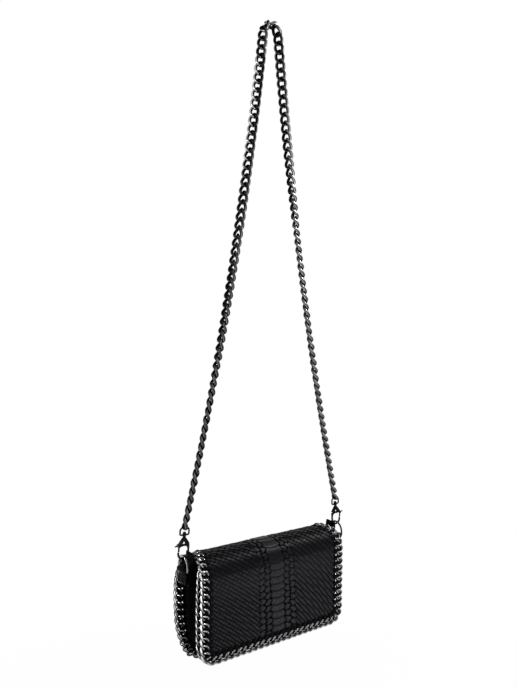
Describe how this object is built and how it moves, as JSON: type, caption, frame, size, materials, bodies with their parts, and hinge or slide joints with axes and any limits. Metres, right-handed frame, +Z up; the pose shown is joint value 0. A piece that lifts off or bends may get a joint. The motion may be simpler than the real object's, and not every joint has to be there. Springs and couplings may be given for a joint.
{
  "type": "chain-strap flap bag",
  "caption": "Small leather flap bag with laced curb-chain edges, hanging from a long curb-chain strap with swivelling lobster claws, D-rings, folded gussets and a magnetic snap flap.",
  "frame": {"origin": "top of the peg that the strap's bend hangs on, on the underside of the top link", "axes": "+Z up along the hanging strap, +X along the bag's width with the picture's near end at -X, -Y towards the front of the flap"},
  "size_m": [0.2422, 0.0663, 0.714],
  "materials": {
    "strap_gunmetal": "polished black-nickel plate over steel and zinc alloy",
    "trim_gunmetal": "bright gunmetal plate over steel wire",
    "python_leather": "black leather embossed with a snakeskin scale pattern, satin",
    "gusset_leather": "plain black grained leather, semi-gloss",
    "lining_cloth": "matt black woven lining",
    "snap_metal": "plated steel magnetic snap",
    "spring_steel": "bare spring wire"
  },
  "bodies": {
    "strap": {"strap_bend": "strap_gunmetal", "strap_left_strand": "strap_gunmetal", "strap_right_strand": "strap_gunmetal", "left_swivel_ring": "strap_gunmetal", "right_swivel_ring": "strap_gunmetal"},
    "bag": {"back_panel": "python_leather", "front_panel": "python_leather", "back_edge_chain": "trim_gunmetal", "front_edge_chain": "trim_gunmetal", "base_strip": "gusset_leather", "lining": "lining_cloth", "snap_socket": "snap_metal", "left_gusset": "gusset_leather", "right_gusset": "gusset_leather", "left_ring_tab": "gusset_leather", "right_ring_tab": "gusset_leather"},
    "flap": {"flap_panel": "python_leather", "flap_edge_chain": "trim_gunmetal", "snap_stud": "snap_metal"},
    "left_claw": {"left_claw_hook": "strap_gunmetal", "left_gate_pin": "strap_gunmetal", "left_gate_spring": "spring_steel"},
    "left_gate": {"left_claw_gate": "strap_gunmetal"},
    "left_ring": {"left_d_ring": "strap_gunmetal"},
    "right_claw": {"right_claw_hook": "strap_gunmetal", "right_gate_pin": "strap_gunmetal", "right_gate_spring": "spring_steel"},
    "right_gate": {"right_claw_gate": "strap_gunmetal"},
    "right_ring": {"right_d_ring": "strap_gunmetal"}
  },
  "joints": [
    {"name": "bag_swing", "type": "hinge", "parent": "strap", "child": "bag", "pos_m": [0, 0, -0.59167], "axis": [1, 0, 0], "range_deg": [-50, 50]},
    {"name": "flap_lift", "type": "hinge", "parent": "bag", "child": "flap", "pos_m": [0, 0.01823, -0.59674], "axis": [-1, 0, 0], "range_deg": [0, 95]},
    {"name": "left_claw_swivel", "type": "hinge", "parent": "strap", "child": "left_claw", "pos_m": [-0.10899, 0, -0.56578], "axis": [0.0698, 0, 0.9976], "range_deg": [-20, 20]},
    {"name": "left_gate_press", "type": "hinge", "parent": "left_claw", "child": "left_gate", "pos_m": [-0.11584, 0, -0.57698], "axis": [0, -1, 0], "range_deg": [0, 25], "stiffness_Nm_per_rad": 0.002, "springref_deg": -17.19},
    {"name": "left_ring_rock", "type": "hinge", "parent": "bag", "child": "left_ring", "pos_m": [-0.1106, 0, -0.60433], "axis": [0, 1, 0], "range_deg": [-3, 3]},
    {"name": "right_claw_swivel", "type": "hinge", "parent": "strap", "child": "right_claw", "pos_m": [0.10899, 0, -0.56578], "axis": [-0.0698, 0, 0.9976], "range_deg": [-20, 20]},
    {"name": "right_gate_press", "type": "hinge", "parent": "right_claw", "child": "right_gate", "pos_m": [0.11584, 0, -0.57698], "axis": [0, 1, 0], "range_deg": [0, 25], "stiffness_Nm_per_rad": 0.002, "springref_deg": -17.19},
    {"name": "right_ring_rock", "type": "hinge", "parent": "bag", "child": "right_ring", "pos_m": [0.1106, 0, -0.60433], "axis": [0, 1, 0], "range_deg": [-3, 3]}
  ]
}
